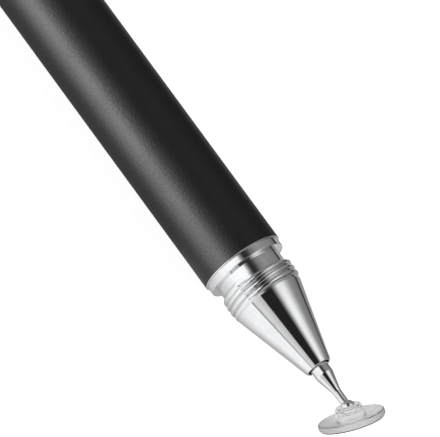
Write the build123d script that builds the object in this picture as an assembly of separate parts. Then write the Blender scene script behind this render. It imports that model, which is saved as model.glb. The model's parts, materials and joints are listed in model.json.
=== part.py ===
"""Stylus pen with a clear touch disc on a sprung, ball-jointed pin.

Millimetres. The pen lies along X with its tip towards +X and +Z up, and the barrel rests on z = 0.
Inside the functions, x is the distance from the barrel's front rim, positive towards the tip, and the
pen's axis is the X axis. The last lines lay every piece in the part's own frame.
"""
import math
import os

from build123d import *

# Room between pieces
seat_gap = 0.02  # radial room of pressed and screwed pieces
run_gap = 0.03  # radial room of the pin in its guide
ball_gap = 0.02  # radial room of the ball in its socket
stop_gap = 0.03  # between the pin's neck and the socket's lip, with the disc at its stop
mouth_gap = 0.3  # radial room of the pin in the nose's mouth
chamber_gap = 0.15  # radial room of what slides in the spring chamber
spigot_gap = 0.35  # radial room of the cup's spigot in the spring
cut_overrun = 1.0  # how far a cutting tool runs past the work

# Barrel: drawn aluminium tube with a bright cut on both rims
barrel_diameter = 9.0
barrel_length = 114.0
barrel_wall = 0.8
barrel_rim_cut = 0.15

# Trim rings, one at each end of the barrel
ring_step = 0.16  # radial, under the barrel
ring_length = 0.85
ring_edge = 0.05

# Brass bushes pressed into the barrel's ends, and the room of the rubber seals beside them
bush_length = 8.0
bush_wall = 0.81
bush_edge = 0.3
seal_end_room = 0.1

# Thread collar: neck, cap thread and the tenon that screws into the front bush
neck_diameter = 7.3
neck_length = 1.21
thread_diameter = 8.08
thread_pitch = 0.65
thread_turns = 4
thread_depth_share = 0.43  # of the pitch
thread_crest_share = 0.125  # of the pitch
thread_flank_angle = 30.0
tenon_bore = 3.0
tenon_edge = 0.3

# Nose cone with its screwed rear tenon, and the spring chamber inside it
cone_base_diameter = 7.69
cone_length = 8.79
cone_edge = 0.05
cone_tenon_diameter = 5.2
cone_tenon_length = 3.1
chamber_diameter = 3.5
nose_wall = 0.5  # left round the front of the guide bush
mouth_wall = 0.17  # left round the mouth
guide_length = 2.0

# Pin: head, shank, taper, neck and ball
pin_diameter = 1.98
pin_head_length = 0.8
pin_head_edge = 0.15
pin_reach = 1.03  # plain shank that stands out of the mouth
pin_taper_length = 1.95
pin_shoulder_radius = 0.6
pin_waist_radius = 1.2
pin_neck_diameter = 0.92
pin_neck_length = 1.5
ball_diameter = 1.55

# Spring, its cup behind the pin's head and the plug that it pushes against
cup_flange = 0.5
cup_spigot_length = 0.7
spring_wire = 0.3
spring_turns = 5.0
spring_end_room = 0.03
plug_length = 1.45
plug_slot_width = 0.5
plug_slot_depth = 0.6

# Touch disc with its ball socket, and the conductive film under it
disc_diameter = 7.0
disc_thickness = 0.67
disc_edge = 0.1
hub_wall = 0.53  # round the ball at the hub's top
hub_flare = 0.3  # from the hub's top to its foot
hub_edge = 0.1
socket_floor = 0.15  # between the socket and the disc's upper face
film_thickness = 0.1
film_inset = 0.06
disc_tilt = 33.0  # degrees to the stop on which the disc hangs

# Tail plug
tail_step = 0.3  # radial, under the barrel
tail_length = 3.2
tail_edge = 0.7
tail_bore = 3.0
tail_floor = 3.0  # solid metal left behind the plug's bore

# Sizes and places along the axis that follow from the values above
barrel_radius = barrel_diameter / 2
barrel_bore = barrel_radius - barrel_wall
tenon_radius = barrel_bore - bush_wall - 2 * seat_gap
seal_section = barrel_bore - tenon_radius - 2 * seat_gap
seal_pocket = seal_section + 2 * seal_end_room
tenon_length = seal_pocket + bush_length
thread_root = thread_diameter / 2 - thread_depth_share * thread_pitch
neck_start = ring_length
thread_start = neck_start + neck_length
cone_start = thread_start + thread_turns * thread_pitch
mouth = cone_start + cone_length
pin_radius = pin_diameter / 2
mouth_bore = pin_radius + mouth_gap
mouth_radius = mouth_bore + mouth_wall
cone_slope = (cone_base_diameter / 2 - mouth_radius) / cone_length
chamber_radius = chamber_diameter / 2
chamber_back = cone_start - cone_tenon_length
slider_radius = chamber_radius - chamber_gap
guide_front = mouth - (chamber_radius + nose_wall - mouth_radius) / cone_slope
head_front = guide_front - guide_length
cup_front = head_front - pin_head_length
spring_front = cup_front - cup_flange
spring_back = chamber_back + plug_length
pin_neck = pin_neck_diameter / 2
taper_start = mouth + pin_reach
taper_end = taper_start + pin_taper_length
ball_radius = ball_diameter / 2
ball_centre = taper_end + pin_neck_length + math.sqrt(ball_radius**2 - pin_neck**2)
socket_radius = ball_radius + ball_gap
socket_mouth_angle = math.radians(disc_tilt) + math.asin((pin_neck + stop_gap) / socket_radius)
hub_top = -socket_radius * math.cos(socket_mouth_angle)
disc_upper = socket_radius + socket_floor
disc_lower = disc_upper + disc_thickness
film_face = disc_lower + film_thickness
disc_rim = disc_diameter / 2
film_rim = disc_rim - disc_edge - film_inset
tail_start = -barrel_length - ring_length
tail_end = tail_start - tail_length


def outline_face(outline):
    """Flat face from a list of (x, radius) corners."""
    return make_face(Polyline(*outline, close=True))


def turned(outline):
    """Solid of revolution about the pen's axis."""
    return revolve(outline_face(outline), axis=Axis.X)


def make_barrel():
    rim = barrel_radius - barrel_rim_cut
    return turned([
        (0, barrel_bore),
        (0, rim),
        (-barrel_rim_cut, barrel_radius),
        (barrel_rim_cut - barrel_length, barrel_radius),
        (-barrel_length, rim),
        (-barrel_length, barrel_bore),
    ])


def make_ring(start):
    """Trim ring on a tenon, from start towards the tip, with both outer edges broken."""
    front = start + ring_length
    outside = barrel_radius - ring_step
    bore = tenon_radius + seat_gap
    return turned([
        (start, bore),
        (start, outside - ring_edge),
        (start + ring_edge, outside),
        (front - ring_edge, outside),
        (front, outside - ring_edge),
        (front, bore),
    ])


def make_bush(start):
    """Brass bush in the barrel's bore, from start towards the tip, round a screwed tenon."""
    front = start + bush_length
    outside = barrel_bore - seat_gap
    bore = tenon_radius + seat_gap
    return turned([
        (start, bore),
        (start, outside - bush_edge),
        (start + bush_edge, outside),
        (front - bush_edge, outside),
        (front, outside - bush_edge),
        (front, bore),
    ])


def make_seal(centre):
    """Rubber ring between a tenon and the barrel's bore."""
    middle = (tenon_radius + barrel_bore) / 2
    return revolve(Pos(centre, middle) * Circle(seal_section / 2), axis=Axis.X)


def thread_outline():
    """Corners of the cap thread's ridges, one for each turn, from the neck towards the nose."""
    crest = thread_diameter / 2
    half_crest = thread_crest_share * thread_pitch / 2
    half_foot = half_crest + (crest - thread_root) * math.tan(math.radians(thread_flank_angle))
    corners = []
    for turn in range(thread_turns):
        middle = thread_start + turn * thread_pitch + thread_pitch / 2
        corners += [
            (middle - half_foot, thread_root),
            (middle - half_crest, crest),
            (middle + half_crest, crest),
            (middle + half_foot, thread_root),
        ]
    return corners


def make_thread_collar():
    neck = neck_diameter / 2
    socket = cone_tenon_diameter / 2 + seat_gap
    socket_end = chamber_back - seat_gap
    return turned([
        (-tenon_length, tenon_bore / 2),
        (-tenon_length, tenon_radius - tenon_edge),
        (tenon_edge - tenon_length, tenon_radius),
        (neck_start, tenon_radius),
        (neck_start, neck),
        (thread_start, neck),
        (thread_start, thread_root),
        *thread_outline(),
        (cone_start, thread_root),
        (cone_start, socket),
        (socket_end, socket),
        (socket_end, tenon_bore / 2),
    ])


def make_nose_cone():
    base = cone_base_diameter / 2
    tenon = cone_tenon_diameter / 2
    return turned([
        (chamber_back, chamber_radius),
        (chamber_back, tenon),
        (cone_start, tenon),
        (cone_start, base - cone_edge),
        (cone_start + cone_edge, base - cone_slope * cone_edge),
        (mouth - cone_edge, mouth_radius + cone_slope * cone_edge),
        (mouth, mouth_radius - cone_edge),
        (mouth, mouth_bore),
        (guide_front, mouth_bore),
        (guide_front, chamber_radius),
    ])


def make_guide_bush():
    outside = chamber_radius - seat_gap
    bore = pin_radius + run_gap
    return turned([(head_front, bore), (head_front, outside), (guide_front, outside), (guide_front, bore)])


def make_ball_pin():
    """Turned pin, its taper rounded at both ends, with the ball at its tip."""
    outline = outline_face([
        (cup_front, 0),
        (cup_front, slider_radius - pin_head_edge),
        (cup_front + pin_head_edge, slider_radius),
        (head_front, slider_radius),
        (head_front, pin_radius),
        (taper_start, pin_radius),
        (taper_end, pin_neck),
        (ball_centre, pin_neck),
        (ball_centre, 0),
    ])
    for corner, radius in (
        ((taper_start, pin_radius), pin_shoulder_radius),
        ((taper_end, pin_neck), pin_waist_radius),
    ):
        outline = fillet(outline.vertices().sort_by_distance(corner)[0], radius)
    return revolve(outline, axis=Axis.X) + Pos(ball_centre, 0, 0) * Sphere(ball_radius)


def make_spring_cup():
    spigot = slider_radius - spring_wire - spigot_gap
    spigot_end = spring_front - cup_spigot_length
    return turned([
        (spigot_end, 0),
        (spigot_end, spigot),
        (spring_front, spigot),
        (spring_front, slider_radius),
        (cup_front, slider_radius),
        (cup_front, 0),
    ])


def make_spring():
    """Round wire wound at one pitch, just clear of the plug and the cup at its ends."""
    wire = spring_wire / 2
    begin = spring_back + wire + spring_end_room
    height = spring_front - spring_back - 2 * (wire + spring_end_room)
    pitch = height / spring_turns
    coil = Helix(pitch, height, slider_radius - wire, center=(begin, 0, 0), direction=(1, 0, 0))
    section = Plane(origin=coil @ 0, z_dir=coil % 0) * Circle(wire)
    print("spring: gap between turns", round(pitch - spring_wire, 3))
    return sweep(section, path=coil, is_frenet=True)


def make_spring_plug():
    """Headless screw that closes the spring chamber, slotted behind."""
    outside = chamber_radius - seat_gap
    plug = turned([(chamber_back, 0), (chamber_back, outside), (spring_back, outside), (spring_back, 0)])
    slot = Box(2 * plug_slot_depth, chamber_diameter + cut_overrun, plug_slot_width)
    return plug - Pos(chamber_back, 0, 0) * slot


def make_touch_disc():
    """Disc and hub about the ball's centre, with the disc's upper face on the pen's side."""
    hub = socket_radius + hub_wall
    body = turned([
        (hub_top, 0),
        (hub_top, hub - hub_edge),
        (hub_top + hub_edge, hub),
        (disc_upper, hub + hub_flare),
        (disc_upper, disc_rim - disc_edge),
        (disc_upper + disc_edge, disc_rim),
        (disc_lower - disc_edge, disc_rim),
        (disc_lower, disc_rim - disc_edge),
        (disc_lower, 0),
    ])
    return body - Sphere(socket_radius)


def make_contact_film():
    return turned([(disc_lower, 0), (disc_lower, film_rim), (film_face, film_rim), (film_face, 0)])


def make_tail_plug():
    """Turned plug, bored from its front, that screws into the rear bush and closes the barrel."""
    tail = barrel_radius - tail_step
    tenon_front = tenon_length - barrel_length
    bore_floor = tail_start + tail_floor
    return turned([
        (tail_end, 0),
        (tail_end, tail - tail_edge),
        (tail_end + tail_edge, tail),
        (tail_start, tail),
        (tail_start, tenon_radius),
        (tenon_front - tenon_edge, tenon_radius),
        (tenon_front, tenon_radius - tenon_edge),
        (tenon_front, tail_bore / 2),
        (bore_floor, tail_bore / 2),
        (bore_floor, 0),
    ])


hang = Pos(ball_centre, 0, 0) * Rot(0, disc_tilt, 0)
pieces = {
    "barrel": make_barrel(),
    "front_bush": make_bush(-tenon_length),
    "rear_bush": make_bush(seal_pocket - barrel_length),
    "collar_ring": make_ring(0),
    "tail_ring": make_ring(tail_start),
    "nose_o_ring": make_seal(-seal_pocket / 2),
    "tail_o_ring": make_seal(seal_pocket / 2 - barrel_length),
    "thread_collar": make_thread_collar(),
    "nose_cone": make_nose_cone(),
    "guide_bush": make_guide_bush(),
    "spring_plug": make_spring_plug(),
    "tip_spring": make_spring(),
    "spring_cup": make_spring_cup(),
    "ball_pin": make_ball_pin(),
    "touch_disc": hang * make_touch_disc(),
    "contact_film": hang * make_contact_film(),
    "tail_plug": make_tail_plug(),
}

# The origin is under the middle of the pen, from the tail's end to the film's foremost edge
lean = math.radians(disc_tilt)
foremost = ball_centre + film_face * math.cos(lean) + film_rim * math.sin(lean)
middle = (foremost + tail_end) / 2
lay = Pos(-middle, 0, barrel_radius)

os.makedirs("parts", exist_ok=True)
for name, piece in pieces.items():
    export_step(lay * piece, f"parts/{name}.step")
print("overall length", round(foremost - tail_end, 3), "barrel's front rim at x", round(-middle, 4))
print("ball's centre at x", round(ball_centre - middle, 4), "film's face from it", round(film_face, 4))
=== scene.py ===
# Stylus pen: satin black barrel, chrome nose with a cap thread, clear touch disc on a ball-jointed pin.
# Metres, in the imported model's frame: the pen lies along X on the floor, with its tip towards +X.
# One section for each piece or group of like pieces, in the order in which the pen is put together.
import json
import math

import bpy
import numpy as np
from mathutils import Matrix, Vector


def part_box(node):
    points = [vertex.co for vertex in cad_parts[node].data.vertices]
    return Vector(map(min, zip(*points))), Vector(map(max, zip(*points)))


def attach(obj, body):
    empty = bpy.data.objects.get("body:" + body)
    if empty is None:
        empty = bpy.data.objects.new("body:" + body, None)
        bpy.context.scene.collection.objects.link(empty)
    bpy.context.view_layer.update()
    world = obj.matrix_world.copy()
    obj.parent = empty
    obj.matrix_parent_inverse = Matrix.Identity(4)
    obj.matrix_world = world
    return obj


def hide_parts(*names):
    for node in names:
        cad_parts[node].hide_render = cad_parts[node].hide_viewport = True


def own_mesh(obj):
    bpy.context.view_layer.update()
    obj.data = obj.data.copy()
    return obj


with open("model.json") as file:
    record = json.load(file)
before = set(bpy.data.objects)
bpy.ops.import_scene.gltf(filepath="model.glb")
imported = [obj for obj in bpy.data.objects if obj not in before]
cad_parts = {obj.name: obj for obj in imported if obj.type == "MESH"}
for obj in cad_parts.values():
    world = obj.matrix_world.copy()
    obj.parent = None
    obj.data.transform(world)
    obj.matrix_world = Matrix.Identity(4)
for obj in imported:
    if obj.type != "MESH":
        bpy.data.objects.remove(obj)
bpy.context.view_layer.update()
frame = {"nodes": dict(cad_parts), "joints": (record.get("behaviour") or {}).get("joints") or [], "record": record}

# Barrel
# A drawn aluminium tube, finely blasted and anodised satin black. Its rims are faced on the lathe after
# anodising, which leaves a thin bright cut in bare metal where the trim rings butt against them.
mm = 0.001
barrel_low, barrel_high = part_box("barrel")
pen_height = (barrel_low.z + barrel_high.z) / 2
barrel_radius = (barrel_high.z - barrel_low.z) / 2
barrel_wall = 0.8 * mm
rim_cut = 0.1 * mm
rim_ease = 0.02 * mm
barrel_spacing = 1.5 * mm
ease_share = 0.3  # of the shorter run beside a corner, at most
guard_share = 1.5  # of a corner's ease
least_step = 0.0001 * mm
turned_sides = 192
barrel_black = (0.0025, 0.0025, 0.0027, 1)
barrel_black_worn = (0.005, 0.005, 0.0053, 1)
bare_aluminium = (0.83, 0.83, 0.84, 1)
oxide_ior = 1.43
blast_grains = 3800  # per metre
blast_contrast = 1.5
blast_depth = 0.014 * mm
drift_grains = 0.06  # for each grain of the speckle
barrel_satin = (0.42, 0.48)
rim_shine = 0.2  # by which a bare rim is less rough
edge_rub = 0.8


def eased(corners, ease, closed=True, steps=5):
    """Profile of (x, radius, edge) rows through (x, radius) corners, with the corners rounded.

    Each corner gives way to the parabola (1-t)^2 a + 2t(1-t) corner + t^2 b, from a point a on the run
    before it to a point b on the run after it, both as far away as ease says, or less beside a short
    run. A guard point farther out on either side keeps the shading of the runs flat. Edge is 4t(1-t) on
    outer corners, for wear. The ends of an open profile stay as they are.
    """
    corners = np.asarray(corners, float)
    ease = np.array(np.broadcast_to(ease, len(corners)), float)
    if not closed:
        ease[[0, -1]] = 0
    back = np.roll(corners, 1, axis=0) - corners
    ahead = np.roll(corners, -1, axis=0) - corners
    back_length = np.linalg.norm(back, axis=1)
    ahead_length = np.linalg.norm(ahead, axis=1)
    reach = np.minimum(ease, ease_share * np.minimum(back_length, ahead_length))
    a = back * (reach / back_length)[:, None]
    b = ahead * (reach / ahead_length)[:, None]
    t = np.linspace(0, 1, steps + 1)[:, None]
    arcs = (1 - t) ** 2 * a[:, None] + t**2 * b[:, None]
    arcs = np.concatenate([guard_share * a[:, None], arcs, guard_share * b[:, None]], axis=1)
    arcs = arcs + corners[:, None]
    turn = ahead[:, 0] * back[:, 1] - ahead[:, 1] * back[:, 0]
    around = np.roll(corners, -1, axis=0)
    area = np.sum(corners[:, 0] * around[:, 1] - corners[:, 1] * around[:, 0])
    outer = turn * np.sign(area) > 0
    edge = np.concatenate([[0], (4 * t * (1 - t))[:, 0], [0]]) * outer[:, None]
    rows = np.concatenate([arcs, edge[..., None]], axis=2).reshape(-1, 3)
    moved = np.linalg.norm(np.diff(rows[:, :2], axis=0, prepend=rows[-1:, :2]), axis=1)
    return rows[moved > least_step]


def filled(profile, spacing, closed=True):
    """The same profile with points added evenly on its runs, so that no run is longer than spacing.

    Spacing is one length for the whole profile, or one for each run.
    """
    ring = np.concatenate([profile, profile[:1]]) if closed else profile
    length = np.linalg.norm(np.diff(ring[:, :2], axis=0), axis=1)
    parts = np.ceil(length / spacing).astype(int)
    run = np.repeat(np.arange(len(parts)), parts)
    share = (np.arange(parts.sum()) - np.repeat(np.cumsum(parts) - parts, parts)) / parts[run]
    points = ring[run] + share[:, None] * (ring[run + 1] - ring[run])
    return points if closed else np.concatenate([points, ring[-1:]])


def turned(profile, sides=turned_sides, lift=None):
    """Surface of revolution about the pen's axis: (x, r) at the angle a goes to (x, r cos a, r sin a).

    Where lift is given, lift(x, r, a) is added to the radius.
    """
    angle = np.arange(sides) * (2 * np.pi / sides)
    x, radius = profile[:, :1], profile[:, 1:2]
    if lift is not None:
        radius = radius + lift(x, radius, angle)
    y = radius * np.cos(angle)
    z = pen_height + radius * np.sin(angle)
    return np.stack([np.broadcast_to(x, y.shape), y, z], axis=-1)


def skin(name, grid, closed=True, **masks):
    """Mesh over a grid of points, with its rows along a profile and its columns round the piece.

    Point (i, j) shares a face with (i+1, j), (i+1, j+1) and (i, j+1). The columns close on themselves. So
    do the rows of a closed profile, and on an open one a flat face caps each end. All faces are turned over
    where they enclose a negative volume, so that they point outwards. Masks become point attributes. They
    have one value a row, or one a point.
    """
    rows, columns = grid.shape[:2]
    index = np.arange(rows * columns).reshape(rows, columns)
    here, ahead = (index, np.roll(index, -1, axis=0)) if closed else (index[:-1], index[1:])
    beside = np.roll(here, -1, axis=1)
    opposite = np.roll(ahead, -1, axis=1)
    quads = np.stack([here, ahead, opposite, beside], axis=-1).reshape(-1, 4)
    points = grid.reshape(-1, 3)
    p = (points - points.mean(axis=0))[quads]
    first = np.cross(p[:, 1], p[:, 2])
    second = np.cross(p[:, 2], p[:, 3])
    outwards = np.sum(p[:, 0] * (first + second)) > 0
    faces = quads.tolist()
    if not closed:
        faces += [index[0].tolist(), index[-1, ::-1].tolist()]
    if not outwards:
        faces = [face[::-1] for face in faces]
    mesh = bpy.data.meshes.new(name)
    mesh.from_pydata(points.tolist(), [], faces)
    mesh.shade_smooth()
    for label, values in masks.items():
        layer = mesh.attributes.new(label, "FLOAT", "POINT")
        spread = np.broadcast_to(np.reshape(values, (rows, -1)), (rows, columns))
        layer.data.foreach_set("value", spread.astype(np.float32).ravel())
    piece = bpy.data.objects.new(name, mesh)
    bpy.context.scene.collection.objects.link(piece)
    return piece


def add(tree, kind, inputs=None, **settings):
    """One shader node. Inputs maps a socket's name or number to a value, or to the output that feeds it."""
    made = tree.nodes.new(kind)
    for label, value in settings.items():
        setattr(made, label, value)
    for label, value in (inputs or {}).items():
        if isinstance(value, bpy.types.NodeSocket):
            tree.links.new(value, made.inputs[label])
        else:
            made.inputs[label].default_value = value
    return made


def math_node(tree, operation, *values):
    """Output of a Math node on up to three values or sockets."""
    return add(tree, "ShaderNodeMath", dict(enumerate(values)), operation=operation).outputs[0]


def blended(tree, share, low, high):
    """Colour between low and high, by a share from 0 to 1."""
    mixed = add(tree, "ShaderNodeMix", {0: share, 6: low, 7: high}, data_type="RGBA")
    return mixed.outputs[2]


def between(tree, share, low, high):
    """Number between low and high, by a share from 0 to 1."""
    return add(tree, "ShaderNodeMapRange", {"Value": share, "To Min": low, "To Max": high}).outputs[0]


def mask(tree, name):
    """One of the masks that the piece's own mesh carries."""
    return add(tree, "ShaderNodeAttribute", attribute_name=name).outputs["Fac"]


def effect(name, inputs, outputs):
    """Empty node group with number sockets, and the two nodes that stand for its sockets."""
    tree = bpy.data.node_groups.new(name, "ShaderNodeTree")
    for label, value in inputs.items():
        socket = tree.interface.new_socket(label, in_out="INPUT", socket_type="NodeSocketFloat")
        socket.default_value = value
    for label in outputs:
        tree.interface.new_socket(label, in_out="OUTPUT", socket_type="NodeSocketFloat")
    return tree, tree.nodes.new("NodeGroupInput").outputs, tree.nodes.new("NodeGroupOutput").inputs


def use(tree, group, inputs=None):
    """Outputs of a node group placed in a material's tree."""
    return add(tree, "ShaderNodeGroup", inputs, node_tree=group).outputs


def finish_of(name, principled, surface):
    """Material with one Principled shader. Surface(tree) gives the inputs that change over the piece."""
    material = bpy.data.materials.new(name)
    material.use_nodes = True
    tree = material.node_tree
    tree.nodes.clear()
    shader = add(tree, "ShaderNodeBsdfPrincipled", {**principled, **surface(tree)})
    add(tree, "ShaderNodeOutputMaterial", {"Surface": shader.outputs[0]})
    return material


def stand_for(piece, node, body, material):
    """Shows a finished piece in place of a node, on the node's body and in its material slot."""
    piece.data.materials.append(material)
    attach(piece, body)
    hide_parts(node)


def make_fine_grain():
    """Even speckle by grains per metre, spread about a half by contrast, and a coarser drift of it."""
    tree, given, out = effect("fine_grain", {"Grains": 5000, "Contrast": 1}, ["Speckle", "Drift"])
    place = add(tree, "ShaderNodeTexCoord").outputs["Object"]
    fine = add(tree, "ShaderNodeTexNoise", {"Vector": place, "Scale": given["Grains"], "Detail": 2})
    coarse_grains = math_node(tree, "MULTIPLY", given["Grains"], drift_grains)
    coarse = add(tree, "ShaderNodeTexNoise", {"Vector": place, "Scale": coarse_grains, "Detail": 3})
    for label, noise in (("Speckle", fine), ("Drift", coarse)):
        aside = math_node(tree, "SUBTRACT", noise.outputs[0], 0.5)
        spread = math_node(tree, "MULTIPLY_ADD", aside, given["Contrast"], 0.5)
        tree.links.new(spread, out[label])
    return tree


fine_grain = make_fine_grain()


def anodised_surface(tree):
    """Black oxide with a blasted grain, rubbed lighter on the edges and cut to bare metal on the rims."""
    grain = use(tree, fine_grain, {"Grains": blast_grains, "Contrast": blast_contrast})
    bare = mask(tree, "bare")
    on_edge = math_node(tree, "MULTIPLY", mask(tree, "edge"), edge_rub)
    rubbed = math_node(tree, "MAXIMUM", on_edge, grain["Speckle"])
    oxide = blended(tree, rubbed, barrel_black, barrel_black_worn)
    satin = between(tree, grain["Drift"], *barrel_satin)
    bump = add(tree, "ShaderNodeBump", {"Height": grain["Speckle"], "Distance": blast_depth})
    return {
        "Base Color": blended(tree, bare, oxide, bare_aluminium),
        "Metallic": bare,
        "Roughness": math_node(tree, "MULTIPLY_ADD", bare, -rim_shine, satin),
        "Normal": bump.outputs[0],
    }


black_anodised = finish_of("black_anodised", {"IOR": oxide_ior}, anodised_surface)
barrel_bore = barrel_radius - barrel_wall
barrel_rim = barrel_radius - rim_cut
barrel_profile = filled(eased([
    (barrel_high.x, barrel_bore),
    (barrel_high.x, barrel_rim),
    (barrel_high.x - rim_cut, barrel_radius),
    (barrel_low.x + rim_cut, barrel_radius),
    (barrel_low.x, barrel_rim),
    (barrel_low.x, barrel_bore),
], rim_ease), barrel_spacing)
from_rim = np.minimum(barrel_high.x - barrel_profile[:, 0], barrel_profile[:, 0] - barrel_low.x)
barrel_bare = from_rim < rim_cut - rim_ease / 2
barrel = skin("barrel_tube", turned(barrel_profile), edge=barrel_profile[:, 2], bare=barrel_bare)
stand_for(barrel, "barrel", "pen", black_anodised)

# Thread bushes
# Two brass inserts pressed into the ends of the barrel. They are plain turned and take the screwed tenons of
# the nose and of the tail, and they keep the fine marks of the lathe tool.
brass_light = (0.80, 0.62, 0.31, 1)
brass_dull = (0.58, 0.42, 0.19, 1)
brass_marks = 9000  # per metre
brass_mark_depth = 0.002 * mm
brass_grains = 9000  # per metre
brass_contrast = 2
brass_roughness = (0.2, 0.38)


def make_turning_marks():
    """Rings left by a lathe tool: noise over the distance along the axis plus the distance from it."""
    tree, given, out = effect("turning_marks", {"Marks": 8000}, ["Rings"])
    place = add(tree, "ShaderNodeTexCoord").outputs["Object"]
    axis = add(tree, "ShaderNodeSeparateXYZ", {0: place}).outputs
    height = math_node(tree, "SUBTRACT", axis["Z"], pen_height)
    side_square = math_node(tree, "MULTIPLY", axis["Y"], axis["Y"])
    squares = math_node(tree, "MULTIPLY_ADD", height, height, side_square)
    travel = math_node(tree, "ADD", axis["X"], math_node(tree, "SQRT", squares))
    noise = add(tree, "ShaderNodeTexNoise", {
        "W": travel, "Scale": given["Marks"], "Detail": 2,
    }, noise_dimensions="1D")
    tree.links.new(noise.outputs[0], out["Rings"])
    return tree


turning_marks = make_turning_marks()


def brass_surface(tree):
    """Brass, dulled in soft patches, with turning marks."""
    rings = use(tree, turning_marks, {"Marks": brass_marks})["Rings"]
    drift = use(tree, fine_grain, {"Grains": brass_grains, "Contrast": brass_contrast})["Drift"]
    bump = add(tree, "ShaderNodeBump", {"Height": rings, "Distance": brass_mark_depth})
    return {
        "Base Color": blended(tree, drift, brass_light, brass_dull),
        "Roughness": between(tree, rings, *brass_roughness),
        "Normal": bump.outputs[0],
    }


def dress(node, material):
    """Gives a node that keeps its own mesh a new finish."""
    mesh = frame["nodes"][node].data
    mesh.materials.clear()
    mesh.materials.append(material)


turned_brass = finish_of("turned_brass", {"Metallic": 1.0}, brass_surface)
for bush in ("front_bush", "rear_bush"):
    dress(bush, turned_brass)

# Seals
# Two moulded rubber rings, squeezed between a tenon and the barrel beside each bush. They keep the screwed
# ends from working loose, and their skin is matt with a faint bloom.
rubber_black = (0.012, 0.012, 0.012, 1)
rubber_bloom = (0.045, 0.045, 0.047, 1)
rubber_grains = 14000  # per metre
rubber_contrast = 1.6
rubber_grain_depth = 0.003 * mm
rubber_roughness = (0.55, 0.75)


def rubber_surface(tree):
    """Black rubber with a grey bloom in patches and a fine moulded grain."""
    grain = use(tree, fine_grain, {"Grains": rubber_grains, "Contrast": rubber_contrast})
    bump = add(tree, "ShaderNodeBump", {"Height": grain["Speckle"], "Distance": rubber_grain_depth})
    return {
        "Base Color": blended(tree, grain["Drift"], rubber_black, rubber_bloom),
        "Roughness": between(tree, grain["Speckle"], *rubber_roughness),
        "Normal": bump.outputs[0],
    }


black_rubber = finish_of("black_rubber", {"Metallic": 0.0}, rubber_surface)
for seal in ("nose_o_ring", "tail_o_ring"):
    dress(seal, black_rubber)

# Trim rings
# Two brass rings, turned, polished and chromed, with their outer edges broken, slipped on the tenons. One
# closes the joint between the barrel and the neck, the other the joint between the barrel and the tail plug.
ring_edge = 0.05 * mm
ring_ease = 0.02 * mm
ring_bore = 2.87 * mm
ring_spacing = 0.12 * mm
chrome_bright = (0.86, 0.865, 0.875, 1)
chrome_hazed = (0.78, 0.785, 0.795, 1)
# Painted shade for the bottom of the thread's grooves.
chrome_groove_shade = (0.5, 0.5, 0.51, 1)
chrome_marks = 6500  # per metre
chrome_mark_depth = 0.00012 * mm
chrome_blotches = 420  # per metre
chrome_roughness = (0.05, 0.09)
groove_roughness = 0.2  # more than elsewhere
streak_draw = 0.12  # scale along the pen
streaks_per_blotch = 9
haze_range = (0.14, 0.42)


def make_handling_haze():
    """Soft blotches left by handling, broken up by finer wiped streaks along the pen."""
    tree, given, out = effect("handling_haze", {"Blotches": 350}, ["Haze"])
    place = add(tree, "ShaderNodeTexCoord").outputs["Object"]
    blotch = add(tree, "ShaderNodeTexNoise", {"Vector": place, "Scale": given["Blotches"], "Detail": 3})
    drawn = add(tree, "ShaderNodeMapping", {"Vector": place, "Scale": (streak_draw, 1, 1)}).outputs[0]
    finer = math_node(tree, "MULTIPLY", given["Blotches"], streaks_per_blotch)
    streak = add(tree, "ShaderNodeTexNoise", {"Vector": drawn, "Scale": finer, "Detail": 2})
    product = math_node(tree, "MULTIPLY", blotch.outputs[0], streak.outputs[0])
    haze = add(tree, "ShaderNodeMapRange", {
        "Value": product, "From Min": haze_range[0], "From Max": haze_range[1],
    })
    tree.links.new(haze.outputs[0], out["Haze"])
    return tree


handling_haze = make_handling_haze()


def haze_off_edges(tree, blotches):
    """Handling haze that leaves the piece's edges bright."""
    haze = use(tree, handling_haze, {"Blotches": blotches})["Haze"]
    return math_node(tree, "MULTIPLY", haze, math_node(tree, "SUBTRACT", 1, mask(tree, "edge")))


def chrome_surface(tree):
    """Bright chrome over what is left of the turning marks after polishing.

    Handling hazes it a little, but not on its edges. At the bottom of grooves it is rougher, and painted
    shade darkens it there.
    """
    groove = mask(tree, "groove")
    haze = haze_off_edges(tree, chrome_blotches)
    plated = blended(tree, haze, chrome_bright, chrome_hazed)
    polish = between(tree, haze, *chrome_roughness)
    rings = use(tree, turning_marks, {"Marks": chrome_marks})["Rings"]
    bump = add(tree, "ShaderNodeBump", {"Height": rings, "Distance": chrome_mark_depth})
    return {
        "Base Color": blended(tree, groove, plated, chrome_groove_shade),
        "Roughness": math_node(tree, "MULTIPLY_ADD", groove, groove_roughness, polish),
        "Normal": bump.outputs[0],
    }


chrome_plate = finish_of("chrome_plate", {"Metallic": 1.0}, chrome_surface)


def make_trim_ring(name, node):
    """Ring with a square bore and broken outer edges, turned to the node's length and radius."""
    low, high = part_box(node)
    outside = (high.z - low.z) / 2
    profile = filled(eased([
        (low.x, ring_bore),
        (low.x, outside - ring_edge),
        (low.x + ring_edge, outside),
        (high.x - ring_edge, outside),
        (high.x, outside - ring_edge),
        (high.x, ring_bore),
    ], ring_ease), ring_spacing)
    ring = skin(name, turned(profile), edge=profile[:, 2])
    stand_for(ring, node, "pen", chrome_plate)


make_trim_ring("front_trim_ring", "collar_ring")
make_trim_ring("rear_trim_ring", "tail_ring")

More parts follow.
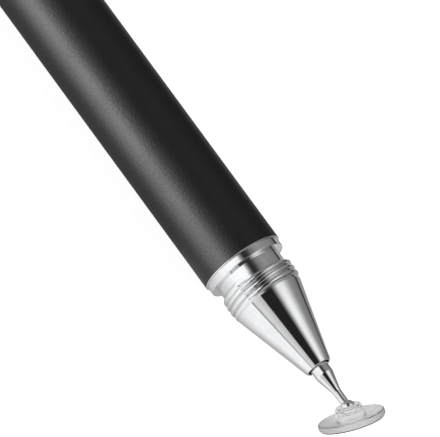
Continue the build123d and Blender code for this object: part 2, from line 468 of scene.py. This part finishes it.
# Thread collar
# A turned brass collar, chromed: a tenon that screws into the front bush, the bare neck, and a fine
# right-hand thread of four turns on which a cap would screw. The nose's own tenon screws into its socket.
collar_low, collar_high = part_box("thread_collar")
neck_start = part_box("collar_ring")[1].x
tenon_radius = 2.85 * mm
tenon_bore = 1.5 * mm
tenon_edge = 0.3 * mm
neck_radius = 3.65 * mm
neck_length = 1.21 * mm
neck_ease = 0.05 * mm
socket_radius = 2.62 * mm
socket_depth = 3.12 * mm
thread_radius = 4.04 * mm
thread_root = 3.8 * mm  # at the nose, rising to it from the neck
thread_pitch = 0.65 * mm
thread_crest = 0.1 * mm
thread_foot = 0.72 * mm
thread_lead_in = 1.139 * mm  # from the neck's start to where the ridge passes the +Y side in the first pitch
thread_first_turn = 0.33  # turns from there
thread_last_turn = 3.95
thread_run_in = 0.35  # turns over which the ridge rises
thread_run_out = 0.6
collar_spacing = 0.15 * mm
thread_spacing = 0.035 * mm
ridge_start = neck_start + thread_lead_in


def smooth(share):
    """Share clipped to 0..1 and eased at both ends: 3 s^2 - 2 s^3."""
    share = np.clip(share, 0, 1)
    return share * share * (3 - 2 * share)


def thread_ridge(x, radius, angle):
    """Shares of the thread's ridge and of the groove beside it at a place on the collar.

    The ridge's middle lies at ridge_start + pitch * turn, where turn is the angle in turns plus a whole
    number. The whole number that brings it nearest gives the distance from the middle, and the ridge falls
    from the crest's edge to the foot's edge as a sine does. The groove is the square of what the ridge
    leaves. Both fall to nothing over the first and last part of a turn.
    """
    turn = angle / (2 * np.pi)
    turn = turn + np.round((x - ridge_start) / thread_pitch - turn)
    aside = np.abs(x - ridge_start - thread_pitch * turn)
    flank = np.clip((thread_foot / 2 - aside) / (thread_foot / 2 - thread_crest / 2), 0, 1)
    flank = np.sin(flank * np.pi / 2)
    rising = smooth((turn - thread_first_turn) / thread_run_in)
    falling = smooth((thread_last_turn - turn) / thread_run_out)
    outer = (radius > neck_radius - neck_ease) & (x > neck_start + neck_ease) & (x < collar_high.x)
    threaded = rising * falling * outer
    return flank * threaded, (1 - flank) ** 2 * threaded


def thread_lift(x, radius, angle):
    """Height of the ridge over the thread's root: its share of the way from there to the crest."""
    return thread_ridge(x, radius, angle)[0] * (thread_radius - radius)


neck_end = neck_start + neck_length
collar_outline = eased([
    (collar_low.x, tenon_bore),
    (collar_low.x, tenon_radius - tenon_edge),
    (collar_low.x + tenon_edge, tenon_radius),
    (neck_start, tenon_radius),
    (neck_start, neck_radius),
    (neck_end, neck_radius),
    (collar_high.x, thread_root),
    (collar_high.x, socket_radius),
    (collar_high.x - socket_depth, socket_radius),
    (collar_high.x - socket_depth, tenon_bore),
], neck_ease)
collar_outside = collar_outline[:, 1] > neck_radius - neck_ease
collar_profile = filled(collar_outline, np.where(collar_outside, thread_spacing, collar_spacing))
collar_angle = np.arange(turned_sides) * (2 * np.pi / turned_sides)
# The groove's share darkens the chrome there with painted shade, and makes it rougher.
thread_groove = thread_ridge(collar_profile[:, :1], collar_profile[:, 1:2], collar_angle)[1]
collar = skin(
    "neck_and_cap_thread", turned(collar_profile, lift=thread_lift),
    edge=collar_profile[:, 2], groove=thread_groove,
)
stand_for(collar, "thread_collar", "pen", chrome_plate)

# Nose cone
# A turned and chromed cone. Its tenon screws into the collar, it is bored from behind for the pin's guide and
# spring, and its open mouth leaves a narrow gap round the pin.
cone_low, cone_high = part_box("nose_cone")
cone_start = collar_high.x
cone_base = 3.845 * mm
cone_mouth = 1.46 * mm
cone_edge = 0.05 * mm
cone_ease = 0.02 * mm
cone_tenon = 2.6 * mm
chamber_radius = 1.75 * mm
mouth_bore = 1.29 * mm
mouth_break = 0.08 * mm
cone_spacing = 0.2 * mm
guide_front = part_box("guide_bush")[1].x
cone_slope = (cone_base - cone_mouth) / (cone_high.x - cone_start)
cone_profile = filled(eased([
    (cone_low.x, chamber_radius),
    (cone_low.x, cone_tenon),
    (cone_start, cone_tenon),
    (cone_start, cone_base - cone_edge),
    (cone_start + cone_edge, cone_base - cone_slope * cone_edge),
    (cone_high.x - cone_edge, cone_mouth + cone_slope * cone_edge),
    (cone_high.x, cone_mouth - cone_edge),
    (cone_high.x, mouth_bore + mouth_break),
    (cone_high.x - mouth_break, mouth_bore),
    (guide_front, mouth_bore),
    (guide_front, chamber_radius),
], cone_ease), cone_spacing)
cone = skin("chrome_nose_cone", turned(cone_profile), edge=cone_profile[:, 2])
stand_for(cone, "nose_cone", "pen", chrome_plate)

# Guide, spring plug and spring cup
# Three small brass turnings inside the nose: the bush that guides the pin, the slotted screw that closes the
# spring chamber behind, and the cup that passes the spring's push to the pin's head.
for turning in ("guide_bush", "spring_plug", "spring_cup"):
    dress(turning, turned_brass)

# Tip spring
# Hard-drawn steel wire wound in five turns between the plug and the cup. It keeps the pin out and gives way
# when the tip is pressed, so it shortens towards the plug as the pin goes in.
spring_low, spring_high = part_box("tip_spring")
spring_wire = 0.15 * mm  # radius
spring_turns = 5
spring_steps = 360
wire_sides = 16
steel_bright = (0.66, 0.66, 0.68, 1)
steel_dull = (0.42, 0.42, 0.45, 1)
wire_blotches = 1500  # per metre
wire_grains = 16000  # per metre
wire_contrast = 1.5
wire_grain_depth = 0.0008 * mm
wire_roughness = (0.24, 0.4)


def wire_surface(tree):
    """Drawn steel wire, dull in streaks."""
    haze = use(tree, handling_haze, {"Blotches": wire_blotches})["Haze"]
    grain = use(tree, fine_grain, {"Grains": wire_grains, "Contrast": wire_contrast})["Speckle"]
    bump = add(tree, "ShaderNodeBump", {"Height": grain, "Distance": wire_grain_depth})
    return {
        "Base Color": blended(tree, haze, steel_bright, steel_dull),
        "Roughness": between(tree, haze, *wire_roughness),
        "Normal": bump.outputs[0],
    }


def coiled(start, end, coil_radius, turns, wire, steps, sides):
    """Wire wound about the pen's axis: a circle carried along a helix.

    The helix's point at the angle a is (x, R cos a, R sin a), with x growing evenly. The circle is spanned by
    the direction out from the axis and by the one square to it and to the helix.
    """
    a = np.linspace(0, 2 * np.pi * turns, steps)[:, None]
    rise = (end - start) / (2 * np.pi * turns)
    zero = np.zeros_like(a)
    out = np.concatenate([zero, np.cos(a), np.sin(a)], axis=1)
    along = np.concatenate([zero + rise, -coil_radius * np.sin(a), coil_radius * np.cos(a)], axis=1)
    along /= np.linalg.norm(along, axis=1, keepdims=True)
    beside = np.cross(along, out)
    middle = np.concatenate([start + rise * a, zero, zero + pen_height], axis=1) + coil_radius * out
    b = np.arange(sides)[None, :, None] * (2 * np.pi / sides)
    return middle[:, None] + wire * (np.cos(b) * out[:, None] + np.sin(b) * beside[:, None])


spring_steel = finish_of("spring_steel", {"Metallic": 1.0}, wire_surface)
coil_radius = (spring_high.z - spring_low.z) / 2 - spring_wire
spring = skin("wound_tip_spring", coiled(
    spring_low.x + spring_wire, spring_high.x - spring_wire, coil_radius,
    spring_turns, spring_wire, spring_steps, wire_sides,
), closed=False)
stand_for(spring, "tip_spring", "pen", spring_steel)
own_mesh(spring)

# Ball pin
# A steel pin turned in one piece and polished: a head against the spring cup, a shank through the guide, a
# rounded taper to a thin neck, and the ball on which the disc swivels.
tilt = next(joint for joint in frame["joints"] if joint["name"] == "disc_tilt")
ball_place = Vector(tilt["pos_m"])
pin_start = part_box("ball_pin")[0].x
head_radius = 1.6 * mm
head_length = 0.8 * mm
head_edge = 0.15 * mm
shank_radius = 0.99 * mm
shank_reach = 1.03 * mm
taper_length = 1.95 * mm
waist_radius = 0.49 * mm
pin_neck = 0.45 * mm
ball_radius = 0.775 * mm
pole_radius = 0.01 * mm
pin_ease = 0.04 * mm
shoulder_ease = 0.08 * mm
waist_ease = 0.16 * mm
pin_spacing = 0.12 * mm
pin_sides = 128
ball_steps = 48
pin_bright = (0.84, 0.845, 0.855, 1)
pin_hazed = (0.74, 0.745, 0.76, 1)
pin_blotches = 900  # per metre
pin_marks = 9000  # per metre
pin_mark_depth = 0.0001 * mm
pin_roughness = (0.04, 0.08)


def polished_surface(tree):
    """Polished steel with faint turning marks and a little haze, but none on its edges."""
    haze = haze_off_edges(tree, pin_blotches)
    rings = use(tree, turning_marks, {"Marks": pin_marks})["Rings"]
    bump = add(tree, "ShaderNodeBump", {"Height": rings, "Distance": pin_mark_depth})
    return {
        "Base Color": blended(tree, haze, pin_bright, pin_hazed),
        "Roughness": between(tree, haze, *pin_roughness),
        "Normal": bump.outputs[0],
    }


polished_steel = finish_of("polished_steel", {"Metallic": 1.0}, polished_surface)
taper_start = cone_high.x + shank_reach
taper_end = taper_start + taper_length
ball_neck = math.asin(pin_neck / ball_radius)
pin_eases = [0, pin_ease, pin_ease, pin_ease, pin_ease, shoulder_ease, waist_ease, 0]
pin_stem = filled(eased([
    (pin_start, pole_radius),
    (pin_start, head_radius - head_edge),
    (pin_start + head_edge, head_radius),
    (pin_start + head_length, head_radius),
    (pin_start + head_length, shank_radius),
    (taper_start, shank_radius),
    (taper_end, waist_radius),
    (ball_place.x - ball_radius * math.cos(ball_neck), pin_neck),
], pin_eases, closed=False), pin_spacing, closed=False)
ball_angle = np.linspace(ball_neck, np.pi - pole_radius / ball_radius, ball_steps)[1:]
pin_ball = np.stack([
    ball_place.x - ball_radius * np.cos(ball_angle),
    ball_radius * np.sin(ball_angle),
    np.zeros(ball_steps - 1),
], axis=1)
pin_profile = np.concatenate([pin_stem, pin_ball])
pin = skin("polished_ball_pin", turned(pin_profile, sides=pin_sides), closed=False, edge=pin_profile[:, 2])
stand_for(pin, "ball_pin", "needle", polished_steel)

# Touch disc
# A clear polycarbonate disc, moulded in one piece with the hub whose socket snaps over the ball. It hangs on
# its stop, tilted, and one sees the floor through it.
disc_radius = 3.5 * mm
disc_thickness = 0.67 * mm
disc_edge = 0.1 * mm
disc_ease = 0.08 * mm
disc_spacing = 0.1 * mm
frost_width = 0.35 * mm
frost_of_face = 0.3
ball_room = 0.02 * mm
socket_floor = 0.15 * mm
hub_wall = 0.53 * mm
hub_flare = 0.3 * mm
hub_edge = 0.1 * mm
hub_top = -0.2583 * mm  # from the ball's centre, towards the pen
socket_steps = 40
clear_tint = (0.99, 0.99, 0.993, 1)
clear_tint_scuffed = (0.97, 0.97, 0.974, 1)
plastic_ior = 1.5
plastic_blotches = 700  # per metre
plastic_grains = 9000  # per metre
plastic_ripple = 0.004 * mm
plastic_roughness = (0.05, 0.12)
frost_roughness = 0.36  # more than elsewhere


def plastic_surface(tree):
    """Clear moulded plastic with a faint ripple and a few scuffed patches, frosted where its mask says."""
    haze = use(tree, handling_haze, {"Blotches": plastic_blotches})["Haze"]
    gloss = between(tree, haze, *plastic_roughness)
    ripple = use(tree, fine_grain, {"Grains": plastic_grains})["Drift"]
    bump = add(tree, "ShaderNodeBump", {"Height": ripple, "Distance": plastic_ripple})
    return {
        "Base Color": blended(tree, haze, clear_tint, clear_tint_scuffed),
        "Roughness": math_node(tree, "MULTIPLY_ADD", mask(tree, "frost"), frost_roughness, gloss),
        "Normal": bump.outputs[0],
    }


def hung(grid):
    """Points of a piece of the disc, worked out straight ahead of the ball, turned to its tilt at rest."""
    face = next(mount for mount in frame["record"]["mounts"] if mount["name"] == "touch_face")
    lean = Vector((1, 0, 0)).rotation_difference(Vector(face["axis"])).to_matrix()
    return (grid - np.array(ball_place)) @ np.array(lean).T + np.array(ball_place)


clear_plastic = finish_of("clear_plastic", {"IOR": plastic_ior, "Transmission Weight": 1.0}, plastic_surface)
ball_socket = ball_radius + ball_room
disc_upper = ball_place.x + ball_socket + socket_floor
disc_lower = disc_upper + disc_thickness
hub_radius = ball_socket + hub_wall
lip_angle = math.acos(-hub_top / ball_socket)
socket_angle = np.linspace(np.pi - pole_radius / ball_socket, lip_angle, socket_steps)[:, None]
socket_profile = np.concatenate([
    ball_place.x - ball_socket * np.cos(socket_angle),
    ball_socket * np.sin(socket_angle),
    np.zeros_like(socket_angle),
], axis=1)
disc_outside = filled(eased([
    (ball_place.x + hub_top, socket_profile[-1, 1]),
    (ball_place.x + hub_top, hub_radius - hub_edge),
    (ball_place.x + hub_top + hub_edge, hub_radius),
    (disc_upper, hub_radius + hub_flare),
    (disc_upper, disc_radius - disc_edge),
    (disc_upper + disc_edge, disc_radius),
    (disc_lower - disc_edge, disc_radius),
    (disc_lower, disc_radius - disc_edge),
    (disc_lower, pole_radius),
], disc_ease, closed=False), disc_spacing, closed=False)
disc_profile = np.concatenate([socket_profile[:-1], disc_outside])
past_hub = smooth((disc_profile[:, 1] - hub_radius - hub_flare) / frost_width)
at_rim = smooth((disc_profile[:, 1] - disc_radius) / frost_width + 1)
disc_frost = frost_of_face * past_hub + (1 - frost_of_face) * at_rim
disc = skin("clear_touch_disc", hung(turned(disc_profile)), closed=False, frost=disc_frost)
stand_for(disc, "touch_disc", "disc", clear_plastic)

# Contact film
# A thin clear film with a conductive coat, a little smaller than the disc's flat face and glued under it
# with no air between. So the light bends at the disc and hardly again at the film, whose coat greys it.
film_thickness = 0.1 * mm
film_radius = 3.34 * mm
film_ease = 0.02 * mm
film_glue = 0.008 * mm
film_tint = (0.92, 0.925, 0.93, 1)
film_tint_rubbed = (0.95, 0.955, 0.96, 1)
film_ior = 1.1
film_blotches = 800  # per metre
film_grains = 12000  # per metre
film_grain_depth = 0.0006 * mm
film_roughness = (0.05, 0.14)


def film_surface(tree):
    """Clear film greyed by its coat, rubbed in soft patches."""
    haze = use(tree, handling_haze, {"Blotches": film_blotches})["Haze"]
    speckle = use(tree, fine_grain, {"Grains": film_grains})["Speckle"]
    bump = add(tree, "ShaderNodeBump", {"Height": speckle, "Distance": film_grain_depth})
    return {
        "Base Color": blended(tree, haze, film_tint, film_tint_rubbed),
        "Roughness": between(tree, haze, *film_roughness),
        "Normal": bump.outputs[0],
    }


clear_film = finish_of("clear_film", {"IOR": film_ior, "Transmission Weight": 1.0}, film_surface)
film_profile = filled(eased([
    (disc_lower + film_glue, pole_radius),
    (disc_lower + film_glue, film_radius),
    (disc_lower + film_thickness, film_radius),
    (disc_lower + film_thickness, pole_radius),
], film_ease, closed=False), disc_spacing, closed=False)
film = skin("conductive_film", hung(turned(film_profile)), closed=False)
stand_for(film, "contact_film", "disc", clear_film)

# Tail plug
# A turned and chromed plug that screws into the rear bush and closes the barrel. Its end is flat with a wide
# chamfer, and its tenon is bored to save weight.
tail_low, tail_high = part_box("tail_plug")
tail_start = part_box("tail_ring")[0].x
tail_radius = (tail_high.z - tail_low.z) / 2
tail_chamfer = 0.7 * mm
tail_ease = 0.12 * mm
tail_bore = 1.5 * mm
tail_floor = 3.0 * mm
tail_spacing = 0.15 * mm
tail_profile = filled(eased([
    (tail_low.x, pole_radius),
    (tail_low.x, tail_radius - tail_chamfer),
    (tail_low.x + tail_chamfer, tail_radius),
    (tail_start, tail_radius),
    (tail_start, tenon_radius),
    (tail_high.x - tenon_edge, tenon_radius),
    (tail_high.x, tenon_radius - tenon_edge),
    (tail_high.x, tail_bore),
    (tail_start + tail_floor, tail_bore),
    (tail_start + tail_floor, pole_radius),
], tail_ease, closed=False), tail_spacing, closed=False)
tail = skin("chrome_tail_plug", turned(tail_profile), closed=False, edge=tail_profile[:, 2])
stand_for(tail, "tail_plug", "pen", chrome_plate)

# Floor
# A plain white sheet under the pen. It glows to the camera and through the clear disc, for a white ground,
# and its matt part still takes the pen's shadow. To glossy rays it shows only painted light and shade in
# strips across it: a painted lit near side, a painted shadow under the pen and a painted dark beyond. Its
# stops are millimetres across and the painted light there.
floor_half = 4.0
floor_white = (0.88, 0.88, 0.88, 1)
floor_glow_seen = 0.84  # and 1 through the disc
# Painted light and shade that glossy rays see on the floor: a lit near side, a painted shadow under the pen, dark
# beyond.
floor_barrel_painted_light_stops = [
    (-90, 1.12), (-40, 1.12), (-22, 0.96), (-11, 0.54), (-7, 0.42), (-5, 0.34), (-3, 0.25), (10, 0.7),
    (14, 0.6), (26, 0.5), (45, 0.42), (60, 0.3), (75, 0.06), (90, 0.06),
]
floor_collar_painted_light_stops = [
    (-90, 1.08), (-30, 1.06), (-16, 0.95), (-11, 0.87), (-7, 0.73), (-5, 0.66), (-3, 0.44), (10, 0.46),
    (14, 0.34), (26, 0.28), (45, 0.36), (60, 0.3), (75, 0.06), (90, 0.06),
]
floor_nose_painted_light_stops = [
    (-90, 1.08), (-8, 1.06), (-6, 0.96), (-4, 0.74), (-2.5, 0.46), (0, 0.55), (2, 0.74), (9, 0.8), (14, 0.4),
    (26, 0.28), (45, 0.36), (60, 0.3), (75, 0.06), (90, 0.06),
]
floor_collar_from = (41 * mm, 45 * mm)  # along the pen, where the next strips take over
floor_nose_from = (50 * mm, 55 * mm)


def ramp(tree, value, stops):
    """Grey from a colour ramp: each stop gives a place on the value's scale and the light there."""
    first, last = stops[0][0], stops[-1][0]
    share = add(tree, "ShaderNodeMapRange", {"Value": value, "From Min": first, "From Max": last})
    made = add(tree, "ShaderNodeValToRGB", {0: share.outputs[0]})
    points = made.color_ramp.elements
    for stop in stops[1:-1]:
        points.new((stop[0] - first) / (last - first))
    for point, (place, light) in zip(points, stops):
        point.position = (place - first) / (last - first)
        point.color = (light, light, light, 1)
    return made.outputs[0]


def make_floor_finish():
    """White matt floor, glowing for camera and transmitted rays, with painted light and shade in strips for glossy
    rays.
    """
    material = bpy.data.materials.new("white_floor")
    material.use_nodes = True
    tree = material.node_tree
    tree.nodes.clear()
    path = add(tree, "ShaderNodeLightPath").outputs
    seen = math_node(tree, "MULTIPLY", path["Is Camera Ray"], floor_glow_seen)
    glow = math_node(tree, "MAXIMUM", seen, path["Is Transmission Ray"])
    matt = add(tree, "ShaderNodeBsdfDiffuse", {"Color": floor_white})
    lit = add(tree, "ShaderNodeEmission", {"Color": (1, 1, 1, 1), "Strength": glow})
    both = add(tree, "ShaderNodeAddShader", {0: matt.outputs[0], 1: lit.outputs[0]})
    place = add(tree, "ShaderNodeTexCoord").outputs["Object"]
    place = add(tree, "ShaderNodeSeparateXYZ", {0: place}).outputs
    across = math_node(tree, "DIVIDE", place["Y"], mm)
    strips = ramp(tree, across, floor_barrel_painted_light_stops)
    next_strips = ((floor_collar_from, floor_collar_painted_light_stops), (floor_nose_from, floor_nose_painted_light_stops))
    for (start, full), stops in next_strips:
        reached = add(tree, "ShaderNodeMapRange", {"Value": place["X"], "From Min": start, "From Max": full})
        strips = blended(tree, reached.outputs[0], strips, ramp(tree, across, stops))
    # Glossy rays see only this painted light and shade, not the floor's own shading.
    painted_reflection = add(tree, "ShaderNodeEmission", {"Color": strips, "Strength": 1.0})
    mix = add(tree, "ShaderNodeMixShader", {
        0: path["Is Glossy Ray"], 1: both.outputs[0], 2: painted_reflection.outputs[0],
    })
    add(tree, "ShaderNodeOutputMaterial", {"Surface": mix.outputs[0]})
    return material


floor_sides = np.array([(-1, -1, 0), (1, -1, 0), (1, 1, 0), (-1, 1, 0)]) * floor_half
floor_mesh = bpy.data.meshes.new("floor")
floor_mesh.from_pydata(floor_sides.tolist(), [], [(0, 1, 2, 3)])
floor_mesh.materials.append(make_floor_finish())
floor = bpy.data.objects.new("floor", floor_mesh)
bpy.context.scene.collection.objects.link(floor)

# Studio light
# Long soft boxes and dark cloths that run along the pen, as a tent round a shiny product has them, so that
# the chrome shows white, grey and black bands. Stops are degrees over the pen, from the far horizon to the
# near one, and the light there.
rear_stops = [
    (0, 0.06), (4, 0.06), (9, 0.2), (34, 0.25), (55, 0.28), (67, 0.31), (80, 0.27), (92, 0.17),
    (102, 0.05), (109, 0.03), (115, 0.03), (121, 0.15), (127, 0.5), (132, 1.02), (140, 1.12), (155, 1.14),
    (165, 1.14), (180, 1.1),
]
front_stops = [
    (0, 0.06), (4, 0.06), (9, 0.2), (38, 0.3), (50, 0.55), (62, 0.88), (74, 1.03), (84, 0.9),
    (95.5, 0.28), (103.5, 0.018), (142, 0.018), (144, 0.58), (158, 0.72), (172, 0.8), (174, 0.42),
    (180, 0.42),
]
end_stops = [(0, 0.2), (80, 0.3), (105, 0.35), (140, 0.3), (180, 0.35)]
front_from = (-0.22, -0.14)  # X part of the direction in which the front's stops take over
ends_from = (0.7, 0.82)  # X part, either way, in which the ends' stops do
horizon_white = (1.05, 1.05, 1.05, 1)
horizon_height = 0.04  # Z part below which the camera sees white


def eased_step(tree, value, limits):
    """Share from 0 to 1 of the way of the value between two limits, eased at both ends."""
    return add(tree, "ShaderNodeMapRange", {
        "Value": value, "From Min": limits[0], "From Max": limits[1],
    }, interpolation_type="SMOOTHSTEP").outputs[0]


def make_studio():
    """World light by direction: ramps over the angle round the pen's axis, for rear, front and both ends.

    The clear disc shows plain white through it, as does the horizon to the camera.
    """
    world = bpy.data.worlds.new("studio")
    world.use_nodes = True
    tree = world.node_tree
    tree.nodes.clear()
    way = add(tree, "ShaderNodeTexCoord").outputs["Generated"]
    axis = add(tree, "ShaderNodeSeparateXYZ", {0: way}).outputs
    over = math_node(tree, "DEGREES", math_node(tree, "ARCTAN2", axis["Z"], axis["Y"]))
    forward = eased_step(tree, axis["X"], front_from)
    tent = blended(tree, forward, ramp(tree, over, rear_stops), ramp(tree, over, front_stops))
    endways = eased_step(tree, math_node(tree, "ABSOLUTE", axis["X"]), ends_from)
    tent = blended(tree, endways, tent, ramp(tree, over, end_stops))
    low = math_node(tree, "LESS_THAN", axis["Z"], horizon_height)
    path = add(tree, "ShaderNodeLightPath").outputs
    low_seen = math_node(tree, "MULTIPLY", low, path["Is Camera Ray"])
    tent = blended(tree, low_seen, tent, horizon_white)
    tent = blended(tree, path["Is Transmission Ray"], tent, horizon_white)
    light = add(tree, "ShaderNodeBackground", {"Color": tent, "Strength": 1.0})
    add(tree, "ShaderNodeOutputWorld", {"Surface": light.outputs[0]})
    return world


bpy.context.scene.world = make_studio()
bpy.context.scene.view_settings.view_transform = "Standard"

# Barrel lamps
# Two long soft lamps on the near side that draw the sheen along the satin barrel: a strip box that stands
# on the floor, and a lit white sheet that lies before it. Flags keep both off the chrome and the disc, so
# they are linked to the barrel alone.
lamp_length = 500 * mm
strip_place = Vector((-222, -150, 37)) * mm
strip_width = 74 * mm
strip_power = 1.23  # watts
sheet_place = Vector((-195, -39, 0.2)) * mm
sheet_width = 46 * mm
sheet_power = 0.25
barrel_lit = bpy.data.collections.new("lit_by_barrel_lamps")
barrel_lit.objects.link(barrel)


def make_barrel_lamp(name, place, width, power, turn):
    """Long area lamp, shining down until turned about X. Only the barrel takes its light or shades it."""
    light = bpy.data.lights.new(name, "AREA")
    light.shape = "RECTANGLE"
    light.size = lamp_length
    light.size_y = width
    light.energy = power
    lamp = bpy.data.objects.new(name, light)
    lamp.matrix_world = Matrix.Translation(place) @ Matrix.Rotation(turn, 4, "X")
    lamp.visible_camera = False
    lamp.light_linking.receiver_collection = barrel_lit
    lamp.light_linking.blocker_collection = barrel_lit
    bpy.context.scene.collection.objects.link(lamp)


make_barrel_lamp("strip_lamp", strip_place, strip_width, strip_power, math.pi / 2)
make_barrel_lamp("sheet_lamp", sheet_place, sheet_width, sheet_power, math.pi)

# Camera
# The photograph's viewpoint: a long lens over the near side of the tip, turned so that the pen runs from the
# upper left to the lower right.
photo_width = 440  # pixels
focal_pixels = 8838
camera_place = Vector((271.25, -537.51, 688.03)) * mm
camera_right = Vector((0.5719, 0.7264, 0.3811))
camera_up = Vector((-0.78, 0.3377, 0.5269))
camera_data = bpy.data.cameras.new("camera")
camera_data.lens = camera_data.sensor_width * focal_pixels / photo_width
camera_data.clip_start = 0.01
camera = bpy.data.objects.new("camera", camera_data)
axes = Matrix((camera_right, camera_up, camera_right.cross(camera_up))).transposed()
camera.matrix_world = Matrix.Translation(camera_place) @ axes.to_4x4()
bpy.context.scene.collection.objects.link(camera)
bpy.context.scene.camera = camera
